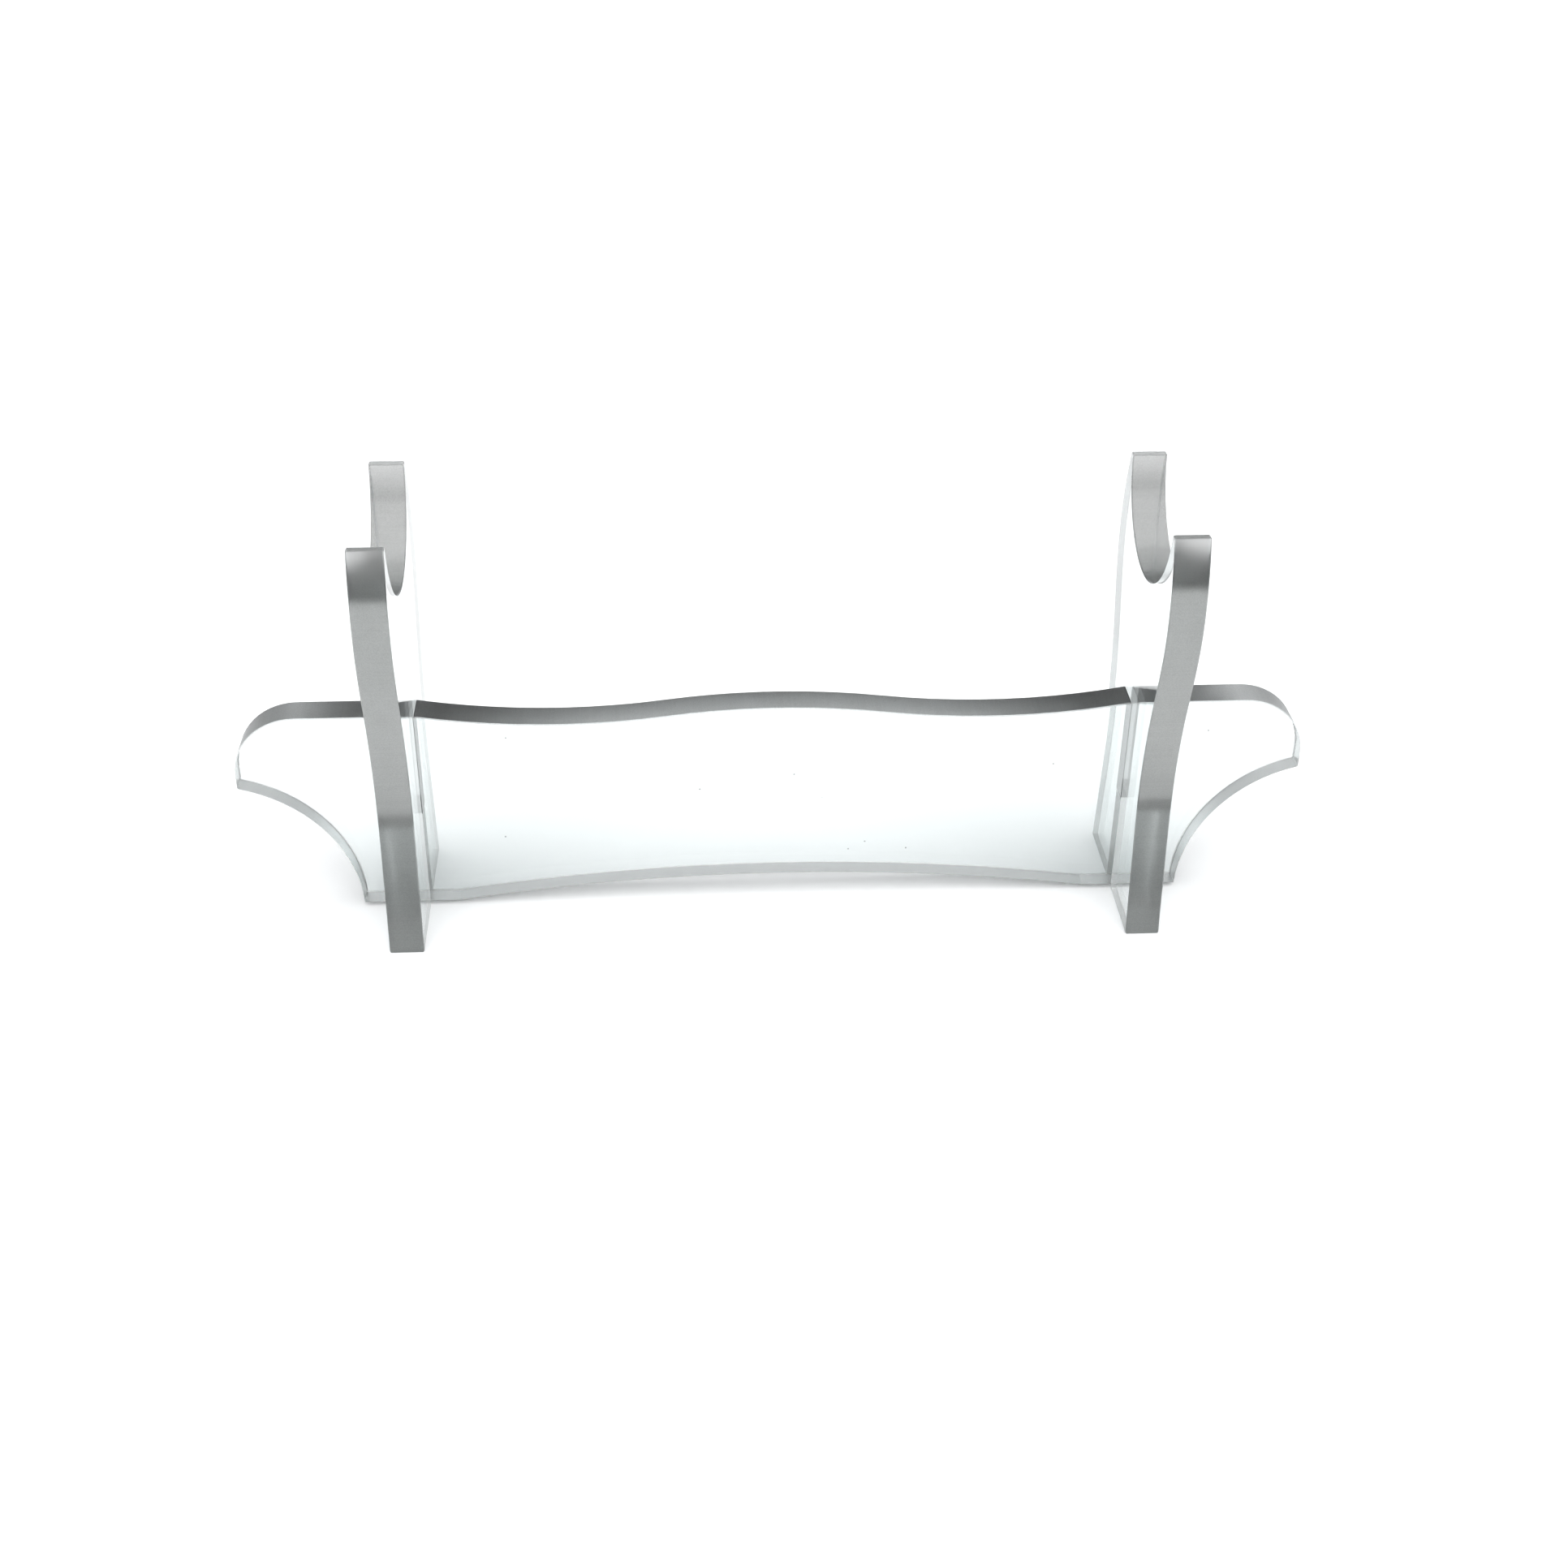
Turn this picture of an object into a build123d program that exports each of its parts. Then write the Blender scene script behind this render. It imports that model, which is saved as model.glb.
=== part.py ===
from build123d import *
import os

# A slot-together display stand: two identical uprights drop over one wave-topped cross board.
# X runs along the cross board, Y from front to back, Z up. The origin is on the table,
# in the middle of the stand. All sizes are in millimetres.

# Stock
sheet = 8.0                   # thickness of the clear sheet that every plate is cut from
edge_break = 0.25             # bevel scraped along every cut outline, on both faces
slot_play = 0.1               # clearance beside each wall of a cross-halving slot
seat_gap = 0.15               # clearance between the ends of two slots that meet

# Cross board, with every height taken from the table
board_length = 250.0
foot_clearance = 0.9          # the board hangs in the uprights, just clear of the table
wing_height = 52.7            # level top edge outside the uprights
crest_height = 53.1           # top of the middle wave
wave_drop = 3.3               # from the crest down to a dip
quarter_wave = 25.5           # from the crest to where the wave changes its curve
shoulder_radius = 15.0        # rounded upper corners
end_tip_height = 34.0         # underside of the outer ends
scoop_width = 26.2            # hollow cut out under each outer end
scoop_radius = 34.4
arch_half_span = 76.0         # low arch between the two feet of the board
arch_height = 6.7
end_tip_round = 0.5

# Uprights
upright_spacing = 174.0       # between the middles of the two uprights
upright_height = 104.0
base_depth = 46.0
shin_depth = 41.6
shin_height = 19.0
waist_depth = 38.8            # narrowest place
waist_height = 39.0
flank_depth = 44.0
flank_height = 60.0
shoulder_depth = 52.8         # widest place, level with the cradle
shoulder_height = 84.0
horn_tip_depth = 45.8         # outside of the two horn tips
horn_tip_round = 0.4
flank_start = (-0.13, 1.0)    # direction in which the flank leaves the table
cradle_radius = 21.0
cradle_bottom = 84.45

# Worked out from the sizes above
half_length = board_length / 2
half_spacing = upright_spacing / 2
slot_width = sheet + 2 * slot_play
mid_height = wing_height / 2
board_slot_floor = mid_height - seat_gap
upright_slot_roof = mid_height + seat_gap

os.makedirs("parts", exist_ok=True)


# Cross board: half of the outline is drawn and mirrored, then the two slots are cut from above.
with BuildPart() as cross_board:
    with BuildSketch(Plane.XZ):
        with BuildLine():
            wave_turn = (quarter_wave, crest_height - wave_drop / 2)
            crest = TangentArc((0, crest_height), wave_turn, tangent=(1, 0))
            dip = TangentArc(wave_turn, (half_spacing - sheet / 2, wing_height), tangent=crest % 1)
            wing = Line(dip @ 1, (half_length - shoulder_radius, wing_height))
            shoulder_end = (half_length, wing_height - shoulder_radius)
            shoulder = TangentArc(wing @ 1, shoulder_end, tangent=(1, 0))
            end_edge = Line(shoulder @ 1, (half_length, end_tip_height))
            scoop = RadiusArc(end_edge @ 1, (half_length - scoop_width, foot_clearance), -scoop_radius)
            foot = Line(scoop @ 1, (arch_half_span, foot_clearance))
            arch = TangentArc((0, arch_height), foot @ 1, tangent=(1, 0))
            mirror(about=Plane.YZ)
        make_face()
    extrude(amount=sheet / 2, both=True)
    end_tips = cross_board.edges().filter_by(Axis.Y).filter_by_position(
        Axis.Z, end_tip_height - 0.1, end_tip_height + 0.1)
    fillet(end_tips, radius=end_tip_round)
    board_faces = cross_board.faces().filter_by(Axis.Y)
    chamfer(board_faces.edges(), length=edge_break)
    slot_height = crest_height - board_slot_floor
    with Locations((-half_spacing, 0, board_slot_floor), (half_spacing, 0, board_slot_floor)):
        Box(slot_width, 2 * sheet, slot_height, align=(Align.CENTER, Align.CENTER, Align.MIN),
            mode=Mode.SUBTRACT)

cross_board.part.label = "cross_board"
export_step(cross_board.part, "parts/cross_board.step")


# Uprights: an hourglass plate with a round cradle between two horns, slotted from below.
for upright_name, upright_x in (("left_upright", -half_spacing), ("right_upright", half_spacing)):
    with BuildPart() as upright:
        with BuildSketch(Plane.YZ.offset(upright_x)):
            with BuildLine():
                base = Line((0, 0), (base_depth / 2, 0))
                flank = Spline(
                    base @ 1,
                    (shin_depth / 2, shin_height),
                    (waist_depth / 2, waist_height),
                    (flank_depth / 2, flank_height),
                    (shoulder_depth / 2, shoulder_height),
                    tangents=(flank_start, (0, 1)),
                )
                horn = TangentArc(flank @ 1, (horn_tip_depth / 2, upright_height), tangent=(0, 1))
                top = Line(horn @ 1, (0, upright_height))
                mirror(about=Plane.YZ)
            make_face()
            with Locations((0, cradle_bottom + cradle_radius)):
                Circle(cradle_radius, mode=Mode.SUBTRACT)
        extrude(amount=sheet / 2, both=True)
        horn_tips = upright.edges().filter_by(Axis.X).filter_by_position(
            Axis.Z, upright_height - 0.1, upright_height + 0.1)
        fillet(horn_tips, radius=horn_tip_round)
        upright_faces = upright.faces().filter_by(Axis.X)
        chamfer(upright_faces.edges(), length=edge_break)
        with Locations((upright_x, 0, 0)):
            Box(2 * sheet, slot_width, 2 * upright_slot_roof, mode=Mode.SUBTRACT)

    upright.part.label = upright_name
    export_step(upright.part, f"parts/{upright_name}.step")
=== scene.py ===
import math

import bmesh
import bpy
from mathutils import Matrix, Vector


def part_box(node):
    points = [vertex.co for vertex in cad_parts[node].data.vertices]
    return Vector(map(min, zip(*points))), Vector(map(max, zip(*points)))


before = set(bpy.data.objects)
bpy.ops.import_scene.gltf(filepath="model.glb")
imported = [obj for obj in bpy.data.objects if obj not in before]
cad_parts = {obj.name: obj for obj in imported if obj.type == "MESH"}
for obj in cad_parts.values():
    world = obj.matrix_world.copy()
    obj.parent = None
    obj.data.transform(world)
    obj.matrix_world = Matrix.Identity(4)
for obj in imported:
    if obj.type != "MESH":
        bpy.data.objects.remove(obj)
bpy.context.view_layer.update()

# A clear slot-together display stand: one wave-topped cross board and two horned uprights.
# The three plates are the CAD nodes themselves. This script gives them their acrylic,
# and makes the floor, the light and the camera. Lengths are in metres.
print("display stand:", len(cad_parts), "plates loaded")

# Camera: the point it looks at, how far off it stands and how it is turned, in degrees
cameraSet = {
    "lookAt": (0.00236, 0.0, 0.02977),
    "distance": 0.4916,
    "yaw": 3.837,       # looking a little towards +X
    "pitch": 32.625,    # looking down
    "roll": 0.831,
    "lens": 47.40,
    "sensor": 36.0,
    "near": 0.02,
    "far": 20.0,
}


def makeCamera():
    data = bpy.data.cameras.new("standCamera")
    data.sensor_width = cameraSet["sensor"]
    data.lens = cameraSet["lens"]
    data.clip_start = cameraSet["near"]
    data.clip_end = cameraSet["far"]
    camera = bpy.data.objects.new("standCamera", data)
    turn = (
        Matrix.Rotation(-math.radians(cameraSet["yaw"]), 3, "Z")
        @ Matrix.Rotation(math.radians(90 - cameraSet["pitch"]), 3, "X")
        @ Matrix.Rotation(math.radians(cameraSet["roll"]), 3, "Z")
    )
    forward = turn @ Vector((0, 0, -1))
    place = Vector(cameraSet["lookAt"]) - forward * cameraSet["distance"]
    camera.matrix_world = Matrix.Translation(place) @ turn.to_4x4()
    bpy.context.scene.collection.objects.link(camera)
    bpy.context.scene.camera = camera


makeCamera()
print("camera placed")


# Node helpers: each adds a node, fills or wires its inputs, and gives back its output
def addNode(tree, kind, place, **settings):
    node = tree.nodes.new(kind)
    node.location = place
    for key, value in settings.items():
        setattr(node, key, value)
    return node


def fill(tree, socket, value):
    if isinstance(value, bpy.types.NodeSocket):
        tree.links.new(value, socket)
    else:
        socket.default_value = value


def mathNode(tree, place, operation, *values, clamp=False):
    node = addNode(tree, "ShaderNodeMath", place, operation=operation, use_clamp=clamp)
    for socket, value in zip(node.inputs, values):
        fill(tree, socket, value)
    return node.outputs[0]


def vectorNode(tree, place, operation, *values, output="Vector"):
    node = addNode(tree, "ShaderNodeVectorMath", place, operation=operation)
    for socket, value in zip(node.inputs, values):
        fill(tree, socket, value)
    return node.outputs[output]


def splitNode(tree, place, vector):
    node = addNode(tree, "ShaderNodeSeparateXYZ", place)
    fill(tree, node.inputs[0], vector)
    return node.outputs


def rampNode(tree, place, value, start, end, low=0.0, high=1.0):
    node = addNode(tree, "ShaderNodeMapRange", place, interpolation_type="SMOOTHSTEP")
    labels = ("Value", "From Min", "From Max", "To Min", "To Max")
    for label, given in zip(labels, (value, start, end, low, high)):
        fill(tree, node.inputs[label], given)
    return node.outputs["Result"]


def noiseNode(tree, place, vector, scale, detail, roughness):
    node = addNode(tree, "ShaderNodeTexNoise", place)
    labels = ("Vector", "Scale", "Detail", "Roughness")
    for label, given in zip(labels, (vector, scale, detail, roughness)):
        fill(tree, node.inputs[label], given)
    return node.outputs["Fac"]


def mixColor(tree, place, factor, first, second):
    node = addNode(tree, "ShaderNodeMix", place, data_type="RGBA")
    for slot, value in zip((0, 6, 7), (factor, first, second)):     # factor, colour A, colour B
        fill(tree, node.inputs[slot], value)
    return node.outputs[2]


def mixValue(tree, place, factor, first, second):
    node = addNode(tree, "ShaderNodeMix", place, data_type="FLOAT")
    for slot, value in zip((0, 2, 3), (factor, first, second)):     # factor, number A, number B
        fill(tree, node.inputs[slot], value)
    return node.outputs[0]


def solid(color):
    return (*color, 1.0)


def shaded(color, amount):
    return solid([min(1.0, part * amount) for part in color])


# Shared effects, each a node group of its own
effectSet = {
    "faceStart": 0.90,          # how squarely a surface looks along the sheet's direction
    "faceFull": 0.97,           # before it counts as one of the two broad faces
    "underStart": 0.3,
    "underFull": 0.6,
    "grainSize": 0.00022,
    "grainCentre": 0.5,
    "lineSpacing": 0.0006,
    "lineStretch": 0.98,        # how straight the cutter lines run across the sheet
    "lineHeight": 0.5,
    "broadScale": 220.0,
    "fineShare": 0.7,           # what each pattern adds to the grain
    "broadShare": 0.15,
    "lineShare": 0.15,
    "dustSpacing": 0.009,
    "dustSize": 0.0003,
    "dustCore": 0.6,            # the share of a speck's radius that is fully dark
    "smudgeSize": 0.03,
    "smudgeStart": 0.52,
    "smudgeFull": 0.75,
    "hairlineTurn": (0.35, 0.35, 0.0),
    "hairlineScale": (30.0, 30.0, 2600.0),      # long and thin, nearly level
    "hairlineStart": 0.74,
    "hairlineFull": 0.78,
    "cloudScale": 6.0,
    "fineNoise": (2.0, 0.6),    # detail and roughness of each noise
    "broadNoise": (3.0, 0.5),
    "lineNoise": (1.0, 0.5),
    "smudgeNoise": (4.0, 0.65),
    "hairlineNoise": (1.0, 0.5),
    "speckleNoise": (3.0, 0.6),
    "cloudNoise": (2.0, 0.5),
}


def newGroup(name, inputs, outputs):
    group = bpy.data.node_groups.new(name, "ShaderNodeTree")
    for label, default in inputs:
        kind = "NodeSocketVector" if isinstance(default, tuple) else "NodeSocketFloat"
        socket = group.interface.new_socket(label, in_out="INPUT", socket_type=kind)
        socket.default_value = default
    for label in outputs:
        group.interface.new_socket(label, in_out="OUTPUT", socket_type="NodeSocketFloat")
    start = addNode(group, "NodeGroupInput", (-1100, 0))
    end = addNode(group, "NodeGroupOutput", (900, 0))
    coords = addNode(group, "ShaderNodeTexCoord", (-1100, -250))
    return group, start.outputs, end.inputs, coords.outputs


def makeCutMask():
    # 1 on the sawn edges and their scraped bevels, 0 on the two broad faces
    group, given, result, coords = newGroup(
        "cutMask", [("Sheet Direction", (0.0, 1.0, 0.0))], ["Cut"])
    dot = vectorNode(
        group, (-700, 0), "DOT_PRODUCT", coords["Normal"], given["Sheet Direction"],
        output="Value")
    facing = mathNode(group, (-400, 0), "ABSOLUTE", dot)
    fill(group, result["Cut"], rampNode(
        group, (0, 0), facing, effectSet["faceStart"], effectSet["faceFull"], 1.0, 0.0))
    return group


def makeRegionMask():
    # 1 inside a box, which is mirrored left to right and front to back
    group, given, result, coords = newGroup(
        "regionMask", [("Place", (0.0, 0.0, 0.0)), ("Reach", (1.0, 1.0, 1.0))], ["Inside"])
    folded = vectorNode(group, (-800, 0), "ABSOLUTE", coords["Object"])
    away = vectorNode(group, (-600, 0), "SUBTRACT", folded, given["Place"])
    sizes = splitNode(group, (-200, 0), vectorNode(group, (-400, 0), "ABSOLUTE", away))
    reaches = splitNode(group, (-200, -200), given["Reach"])
    within = [
        mathNode(group, (0, -150 * axis), "LESS_THAN", sizes[axis], reaches[axis])
        for axis in range(3)
    ]
    flat = mathNode(group, (250, 0), "MULTIPLY", within[0], within[1])
    fill(group, result["Inside"], mathNode(group, (450, 0), "MULTIPLY", flat, within[2]))
    return group


def makeHeightMask():
    # rises from 0 at Low to 1 at High, both measured up from the table at rest
    group, given, result, coords = newGroup(
        "heightMask", [("Low", 0.0), ("High", 0.1)], ["Above"])
    height = splitNode(group, (-600, 0), coords["Object"])["Z"]
    fill(group, result["Above"], rampNode(group, (0, 0), height, given["Low"], given["High"]))
    return group


def makeUnderside():
    # 1 where the surface looks down
    group, given, result, coords = newGroup(
        "underside",
        [("Start", effectSet["underStart"]), ("End", effectSet["underFull"])],
        ["Under"])
    upward = splitNode(group, (-700, 0), coords["Normal"])["Z"]
    down = mathNode(group, (-400, 0), "MULTIPLY", upward, -1.0)
    fill(group, result["Under"], rampNode(group, (0, 0), down, given["Start"], given["End"]))
    return group


def makeSatinGrain():
    # fine grain of a sawn and scraped edge, with cutter lines that run across the sheet
    group, given, result, coords = newGroup(
        "satinGrain",
        [
            ("Sheet Direction", (0.0, 1.0, 0.0)),
            ("Grain Size", effectSet["grainSize"]),
            ("Strength", 1.0),
            ("Line Spacing", effectSet["lineSpacing"]),
        ],
        ["Value", "Height"])
    grainScale = mathNode(group, (-800, 200), "DIVIDE", 1.0, given["Grain Size"])
    fine = noiseNode(
        group, (-500, 200), coords["Object"], grainScale, *effectSet["fineNoise"])
    broad = noiseNode(
        group, (-500, 0), coords["Object"], effectSet["broadScale"], *effectSet["broadNoise"])

    # the cutter lines are noise drawn out along the sheet's direction
    along = vectorNode(
        group, (-900, -400), "DOT_PRODUCT", coords["Object"], given["Sheet Direction"],
        output="Value")
    across = mathNode(group, (-750, -400), "MULTIPLY", along, effectSet["lineStretch"])
    stretch = addNode(group, "ShaderNodeVectorMath", (-600, -400), operation="SCALE")
    fill(group, stretch.inputs[0], given["Sheet Direction"])
    fill(group, stretch.inputs["Scale"], across)
    flattened = vectorNode(
        group, (-400, -400), "SUBTRACT", coords["Object"], stretch.outputs[0])
    lineScale = mathNode(group, (-400, -600), "DIVIDE", 1.0, given["Line Spacing"])
    lines = noiseNode(group, (-200, -400), flattened, lineScale, *effectSet["lineNoise"])

    centre = effectSet["grainCentre"]
    broadPart = mathNode(group, (-200, 0), "MULTIPLY", broad, effectSet["broadShare"])
    blend = mathNode(group, (0, 100), "MULTIPLY_ADD", fine, effectSet["fineShare"], broadPart)
    total = mathNode(group, (150, 100), "MULTIPLY_ADD", lines, effectSet["lineShare"], blend)
    centred = mathNode(group, (300, 100), "SUBTRACT", total, centre)
    strong = mathNode(group, (450, 100), "MULTIPLY", centred, given["Strength"])
    fill(group, result["Value"], mathNode(
        group, (600, 100), "ADD", strong, centre, clamp=True))
    fill(group, result["Height"], mathNode(
        group, (300, -200), "MULTIPLY_ADD", lines, effectSet["lineHeight"], fine))
    return group


def makeHandlingMarks():
    # what hands and cloths leave on the clear faces: dust, smudges and hairlines
    group, given, result, coords = newGroup(
        "handlingMarks",
        [
            ("Dust Spacing", effectSet["dustSpacing"]),
            ("Dust Size", effectSet["dustSize"]),
            ("Smudge Size", effectSet["smudgeSize"]),
        ],
        ["Dust", "Smudge", "Hairline"])
    cell = addNode(group, "ShaderNodeTexVoronoi", (-600, 300))
    fill(group, cell.inputs["Vector"], coords["Object"])
    cellScale = mathNode(group, (-850, 300), "DIVIDE", 1.0, given["Dust Spacing"])
    fill(group, cell.inputs["Scale"], cellScale)
    reach = mathNode(
        group, (-350, 300), "MULTIPLY", cell.outputs["Distance"], given["Dust Spacing"])
    core = mathNode(group, (-200, 450), "MULTIPLY", given["Dust Size"], effectSet["dustCore"])
    fill(group, result["Dust"], rampNode(
        group, (0, 300), reach, core, given["Dust Size"], 1.0, 0.0))

    smudgeScale = mathNode(group, (-850, 0), "DIVIDE", 1.0, given["Smudge Size"])
    smudge = noiseNode(
        group, (-600, 0), coords["Object"], smudgeScale, *effectSet["smudgeNoise"])
    fill(group, result["Smudge"], rampNode(
        group, (0, 0), smudge, effectSet["smudgeStart"], effectSet["smudgeFull"]))

    turned = addNode(group, "ShaderNodeMapping", (-850, -300))
    fill(group, turned.inputs["Vector"], coords["Object"])
    turned.inputs["Rotation"].default_value = effectSet["hairlineTurn"]
    turned.inputs["Scale"].default_value = effectSet["hairlineScale"]
    thread = noiseNode(
        group, (-600, -300), turned.outputs["Vector"], 1.0, *effectSet["hairlineNoise"])
    fill(group, result["Hairline"], rampNode(
        group, (0, -300), thread, effectSet["hairlineStart"], effectSet["hairlineFull"]))
    return group


def makeFloorSpeckle():
    # very faint unevenness of a painted table top
    group, given, result, coords = newGroup(
        "floorSpeckle", [("Speckle Size", 0.002)], ["Speckle", "Cloud"])
    speckleScale = mathNode(group, (-800, 0), "DIVIDE", 1.0, given["Speckle Size"])
    fill(group, result["Speckle"], noiseNode(
        group, (-500, 0), coords["Object"], speckleScale, *effectSet["speckleNoise"]))
    fill(group, result["Cloud"], noiseNode(
        group, (-500, -300), coords["Object"], effectSet["cloudScale"],
        *effectSet["cloudNoise"]))
    return group


effects = {
    "cutMask": makeCutMask(),
    "regionMask": makeRegionMask(),
    "heightMask": makeHeightMask(),
    "underside": makeUnderside(),
    "satinGrain": makeSatinGrain(),
    "handlingMarks": makeHandlingMarks(),
    "floorSpeckle": makeFloorSpeckle(),
}
print("effects built:", ", ".join(effects))


def effect(tree, place, name, **values):
    node = addNode(tree, "ShaderNodeGroup", place, node_tree=effects[name])
    for label, value in values.items():
        fill(tree, node.inputs[label.replace("_", " ")], value)
    return node.outputs


# The sheet: what every plate of clear acrylic has in common
sheetSet = {
    "ior": 1.49,
    "faceColor": (0.955, 0.987, 0.985),
    "dustColor": (0.22, 0.22, 0.22),
    "smudgeRoughness": 0.02,
    "hairlineRoughness": 0.12,
    "absorbColor": (0.84, 0.862, 0.858),
    "absorbDensity": 25.0,
    "grainSize": 0.00027,
    "grainStrength": 1.6,
    "grainDark": 0.62,          # how far the grain darkens and lightens a cut edge
    "grainLight": 1.38,
    "roughnessSpread": 0.06,
    "bumpDepth": 0.00001,
    "bumpStrength": 0.35,
    "veilColor": (0.50, 0.50, 0.50),    # a sawn cut swallows some of the light that meets it
    "veilRoughness": 0.50,
}

# Where the slots are, from the frame
leftLow, leftHigh = [Vector(corner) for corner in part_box("left_upright")]
sheetThickness = leftHigh.x - leftLow.x
uprightPlace = abs(leftLow.x + leftHigh.x) / 2
slotMargin = 0.0003                         # past the sheet's faces, to take in the slot's walls
slotHalf = sheetThickness / 2 + slotMargin
slotMeet = 0.02635                          # height at which the slots of two plates meet
slotRoofMargin = 0.0004                     # past slotMeet, to take in an upright slot's roof
everywhere = 1.0

# Cross board: sawn edges, slots open at the top, hollows and arch underneath
boardSet = {
    "direction": (0.0, 1.0, 0.0),
    "slotPlace": (uprightPlace, 0.0, 2 * slotMeet),
    "slotReach": (slotHalf, everywhere, slotMeet + slotMargin),
    "cutColor": (0.80, 0.80, 0.805),
    "cutRoughness": 0.36,
    "underPaintedShadeColor": (0.54, 0.54, 0.535),   # painted shade: darker near the table
    "underPaintedLightColor": (1.0, 1.0, 0.99),     # painted light: lighter under the raised outer ends
    "underLow": 0.004,
    "underHigh": 0.020,
    "underRoughness": 0.46,
    "slotColor": (0.70, 0.71, 0.71),
    "slotRoughness": 0.30,
    "cutVeil": 0.12,
    "slotVeil": 0.80,
    "underVeil": 0.20,
}

# Uprights: sawn flanks and cradle, milky slots open at the bottom, smooth feet
uprightSet = {
    "direction": (1.0, 0.0, 0.0),
    "slotPlace": (uprightPlace, 0.0, 0.0),
    "slotReach": (everywhere, slotHalf, slotMeet + slotRoofMargin),
    "cutColor": (0.45, 0.45, 0.444),
    "cutRoughness": 0.34,
    "underPaintedShadeColor": (0.92, 0.93, 0.93),
    "underPaintedLightColor": (0.92, 0.93, 0.93),
    "underLow": 0.004,
    "underHigh": 0.020,
    "underRoughness": 0.06,
    "slotColor": (0.99, 1.0, 1.0),
    "slotRoughness": 0.55,
    "cutVeil": 0.15,
    "slotVeil": 0.0,
    "underVeil": 0.0,
    "tipColor": (1.0, 1.0, 0.995),          # the horns' outer tips are rubbed lighter
    "tipLow": 0.093,
    "tipHigh": 0.1035,
    "tipInside": 0.0211,                    # half the span between the two tips' outer skins
    "cradleFoot": 0.082,                    # the cradle starts above this and is smoother
    "cradleFade": 0.001,
    "cradleRoughness": 0.24,
    "tipFlat": 0.10385,                     # above this the tip's flat end is coarser
    "tipFlatFade": 0.0001,
    "tipFlatRoughness": 0.75,
    "tipRoughness": 0.50,
}


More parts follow.
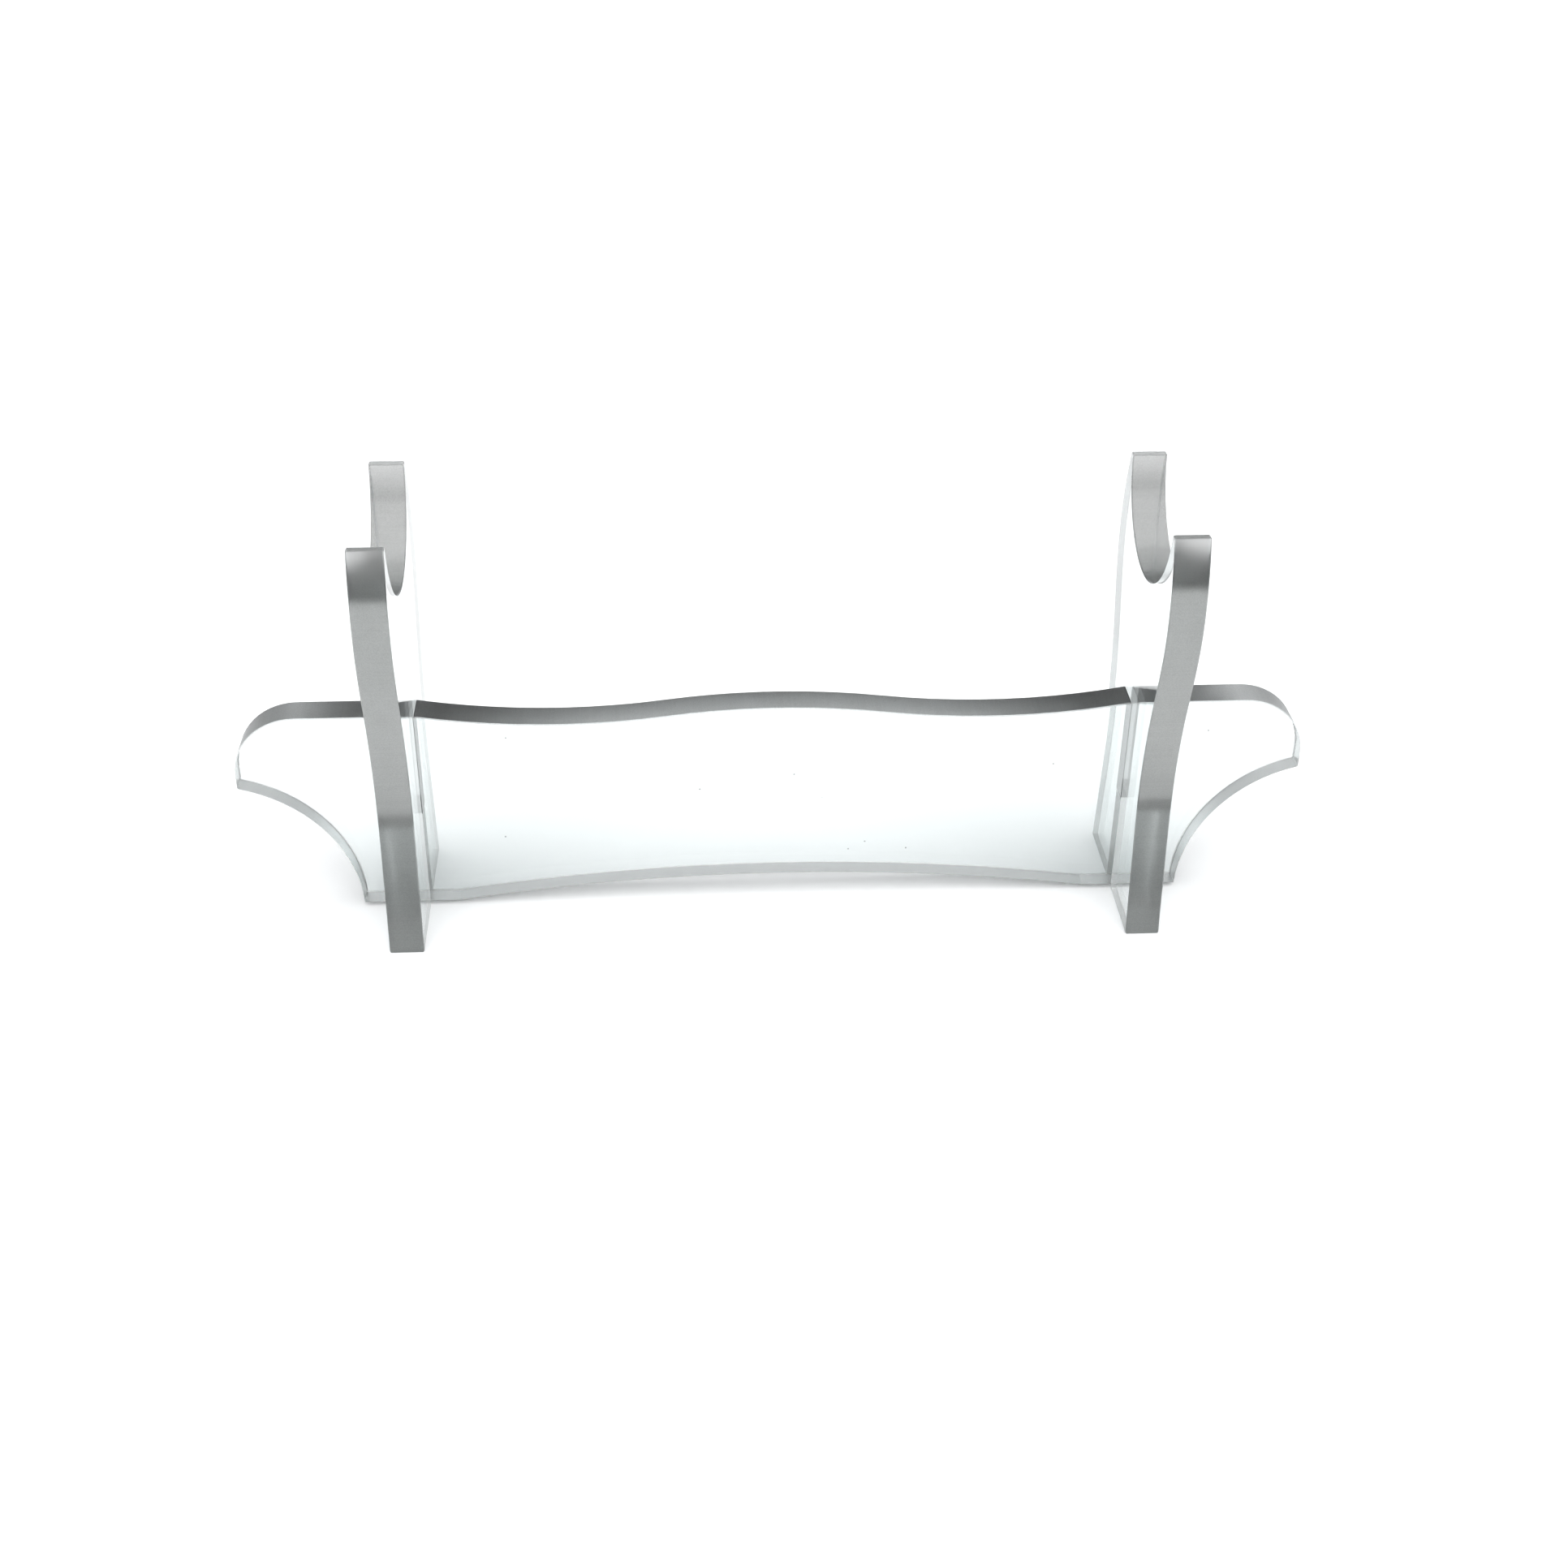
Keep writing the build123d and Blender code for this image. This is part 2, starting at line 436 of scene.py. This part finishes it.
def makeAcrylic(name, plate):
    material = bpy.data.materials.new(name)
    material.use_nodes = True
    tree = material.node_tree
    shader = tree.nodes["Principled BSDF"]
    shader.location = (700, 100)
    output = tree.nodes["Material Output"]
    output.location = (1000, 100)
    cut = effect(tree, (-1300, 600), "cutMask", Sheet_Direction=plate["direction"])["Cut"]
    slot = effect(
        tree, (-1300, 400), "regionMask",
        Place=plate["slotPlace"], Reach=plate["slotReach"])["Inside"]
    under = effect(tree, (-1300, 200), "underside")["Under"]
    raised = effect(
        tree, (-1300, 0), "heightMask", Low=plate["underLow"], High=plate["underHigh"])["Above"]
    grain = effect(
        tree, (-1300, -200), "satinGrain", Sheet_Direction=plate["direction"],
        Grain_Size=sheetSet["grainSize"], Strength=sheetSet["grainStrength"])
    marks = effect(tree, (-1300, -500), "handlingMarks")

    # colour: grained cut edges and slots with a tone of their own, undersides darker near
    # the table as painted shade and lighter higher up as painted light, horn tips with a
    # painted highlight, and nearly clear faces with dust on them
    edge = mixColor(
        tree, (-900, 300), grain["Value"],
        shaded(plate["cutColor"], sheetSet["grainDark"]),
        shaded(plate["cutColor"], sheetSet["grainLight"]))
    # painted shade on the undersides near the table, fading to painted light higher up
    paintedUnderShade = mixColor(
        tree, (-900, 100), raised,
        solid(plate["underPaintedShadeColor"]), solid(plate["underPaintedLightColor"]))
    edge = mixColor(tree, (-700, 300), under, edge, paintedUnderShade)
    edge = mixColor(tree, (-500, 300), slot, edge, solid(plate["slotColor"]))
    if "tipColor" in plate:
        tall = effect(
            tree, (-1300, 1000), "heightMask",
            Low=plate["tipLow"], High=plate["tipHigh"])["Above"]
        inner = effect(
            tree, (-1300, 800), "regionMask",
            Reach=(everywhere, plate["tipInside"], everywhere))["Inside"]
        outer = mathNode(tree, (-1000, 800), "SUBTRACT", 1.0, inner)
        tip = mathNode(tree, (-800, 800), "MULTIPLY", tall, outer)
        edge = mixColor(tree, (-300, 300), tip, edge, solid(plate["tipColor"]))
        upper = effect(
            tree, (-1300, 1400), "heightMask",
            Low=plate["cradleFoot"] - plate["cradleFade"], High=plate["cradleFoot"])["Above"]
        cradle = mathNode(tree, (-1000, 1400), "MULTIPLY", upper, inner)
        flatEnd = effect(
            tree, (-1300, 1200), "heightMask",
            Low=plate["tipFlat"] - plate["tipFlatFade"], High=plate["tipFlat"])["Above"]
    face = mixColor(
        tree, (-500, 0), marks["Dust"],
        solid(sheetSet["faceColor"]), solid(sheetSet["dustColor"]))
    fill(tree, shader.inputs["Base Color"], mixColor(tree, (300, 300), cut, face, edge))

    # roughness: satin cuts, and polished faces with smudges and hairlines
    spread = sheetSet["roughnessSpread"]
    satin = mathNode(
        tree, (-900, -200), "MULTIPLY_ADD",
        grain["Value"], spread, plate["cutRoughness"] - spread / 2)
    satin = mixValue(tree, (-700, -200), under, satin, plate["underRoughness"])
    satin = mixValue(tree, (-500, -200), slot, satin, plate["slotRoughness"])
    if "tipColor" in plate:
        satin = mixValue(tree, (-400, -200), cradle, satin, plate["cradleRoughness"])
        satin = mixValue(tree, (-250, -200), tip, satin, plate["tipRoughness"])
        satin = mixValue(tree, (-100, -200), flatEnd, satin, plate["tipFlatRoughness"])
    smudged = mathNode(
        tree, (-900, -500), "MULTIPLY", marks["Smudge"], sheetSet["smudgeRoughness"])
    polish = mathNode(
        tree, (-700, -500), "MULTIPLY_ADD",
        marks["Hairline"], sheetSet["hairlineRoughness"], smudged)
    fill(tree, shader.inputs["Roughness"], mixValue(tree, (300, -100), cut, polish, satin))

    # a thin grey veil over the cuts, none on the faces and the rubbed tips
    lowUnder = mathNode(
        tree, (-700, -800), "MULTIPLY_ADD", raised, -plate["underVeil"], plate["underVeil"])
    veil = mixValue(tree, (-500, -800), under, plate["cutVeil"], lowUnder)
    veil = mixValue(tree, (-300, -800), slot, veil, plate["slotVeil"])
    if "tipColor" in plate:
        veil = mixValue(tree, (-100, -800), tip, veil, 0.0)
    fill(tree, shader.inputs["Coat Weight"], mathNode(tree, (100, -800), "MULTIPLY", veil, cut))
    shader.inputs["Coat Tint"].default_value = solid(sheetSet["veilColor"])
    shader.inputs["Coat Roughness"].default_value = sheetSet["veilRoughness"]

    # a very shallow relief on the cuts only
    relief = addNode(tree, "ShaderNodeBump", (300, -400))
    relief.inputs["Strength"].default_value = sheetSet["bumpStrength"]
    relief.inputs["Distance"].default_value = sheetSet["bumpDepth"]
    fill(tree, relief.inputs["Height"], mathNode(
        tree, (0, -400), "MULTIPLY", grain["Height"], cut))
    fill(tree, shader.inputs["Normal"], relief.outputs["Normal"])

    # clear sheet, faintly tinted by its depth
    shader.inputs["IOR"].default_value = sheetSet["ior"]
    shader.inputs["Transmission Weight"].default_value = 1.0
    absorb = addNode(tree, "ShaderNodeVolumeAbsorption", (700, -400))
    absorb.inputs["Color"].default_value = solid(sheetSet["absorbColor"])
    absorb.inputs["Density"].default_value = sheetSet["absorbDensity"]
    fill(tree, output.inputs["Volume"], absorb.outputs[0])
    return material


boardAcrylic = makeAcrylic("boardAcrylic", boardSet)
uprightAcrylic = makeAcrylic("uprightAcrylic", uprightSet)
for nodeName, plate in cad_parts.items():
    plate.data.materials.clear()
    plate.data.materials.append(boardAcrylic if nodeName == "cross_board" else uprightAcrylic)
    print("acrylic on", nodeName)

# Floor: one pale sheet just under the stand's feet
floorSet = {
    "half": 6.0,
    "drop": 0.0002,
    "darkColor": (0.915, 0.925, 0.935),
    "lightColor": (0.945, 0.95, 0.955),
    "roughness": 0.70,
    "roughnessSpread": 0.12,
    "speckleSize": 0.002,
    "cloudShare": 0.5,
}


def makeFloor():
    shape = bmesh.new()
    bmesh.ops.create_grid(shape, x_segments=1, y_segments=1, size=floorSet["half"])
    bmesh.ops.translate(shape, verts=shape.verts, vec=(0, 0, -floorSet["drop"]))
    mesh = bpy.data.meshes.new("floor")
    shape.to_mesh(mesh)
    shape.free()
    floor = bpy.data.objects.new("floor", mesh)
    bpy.context.scene.collection.objects.link(floor)
    material = bpy.data.materials.new("paleFloor")
    material.use_nodes = True
    tree = material.node_tree
    shader = tree.nodes["Principled BSDF"]
    uneven = effect(tree, (-700, 0), "floorSpeckle", Speckle_Size=floorSet["speckleSize"])
    blend = mixValue(
        tree, (-500, 0), floorSet["cloudShare"], uneven["Speckle"], uneven["Cloud"])
    fill(tree, shader.inputs["Base Color"], mixColor(
        tree, (-250, 100), blend,
        solid(floorSet["darkColor"]), solid(floorSet["lightColor"])))
    fill(tree, shader.inputs["Roughness"], mathNode(
        tree, (-250, -100), "MULTIPLY_ADD",
        uneven["Speckle"], floorSet["roughnessSpread"], floorSet["roughness"]))
    mesh.materials.append(material)


makeFloor()
print("floor laid")

# Studio: a room that is lighter low down, and one very wide soft light above and in front
studioSet = {
    "roomColor": (0.965, 0.98, 0.985),
    "roomStrength": 0.50,
    "horizonStrength": 0.90,
    "horizonRise": 0.30,    # above this slope the room is even
    "lightStrength": 3.3,
    "lightAngle": 80.0,     # degrees across, which sets how soft the shadows are
    "lightTilt": 24.0,      # degrees forward from overhead
    "bounces": 24,          # enough to see through three plates
}


def makeStudio():
    scene = bpy.context.scene
    world = bpy.data.worlds.new("studioRoom")
    scene.world = world
    world.use_nodes = True
    tree = world.node_tree
    background = tree.nodes["Background"]
    background.inputs["Color"].default_value = solid(studioSet["roomColor"])
    heading = addNode(tree, "ShaderNodeTexCoord", (-700, 0))
    slope = splitNode(tree, (-500, 0), heading.outputs["Generated"])["Z"]
    glow = rampNode(
        tree, (-250, 0), slope, 0.0, studioSet["horizonRise"],
        studioSet["horizonStrength"], studioSet["roomStrength"])
    fill(tree, background.inputs["Strength"], glow)
    lamp = bpy.data.lights.new("softLight", "SUN")
    lamp.energy = studioSet["lightStrength"]
    lamp.angle = math.radians(studioSet["lightAngle"])
    light = bpy.data.objects.new("softLight", lamp)
    light.rotation_euler = (math.radians(studioSet["lightTilt"]), 0, 0)
    scene.collection.objects.link(light)
    scene.view_settings.view_transform = "Standard"
    scene.cycles.max_bounces = studioSet["bounces"]
    scene.cycles.transmission_bounces = studioSet["bounces"]


makeStudio()
print("studio lit")
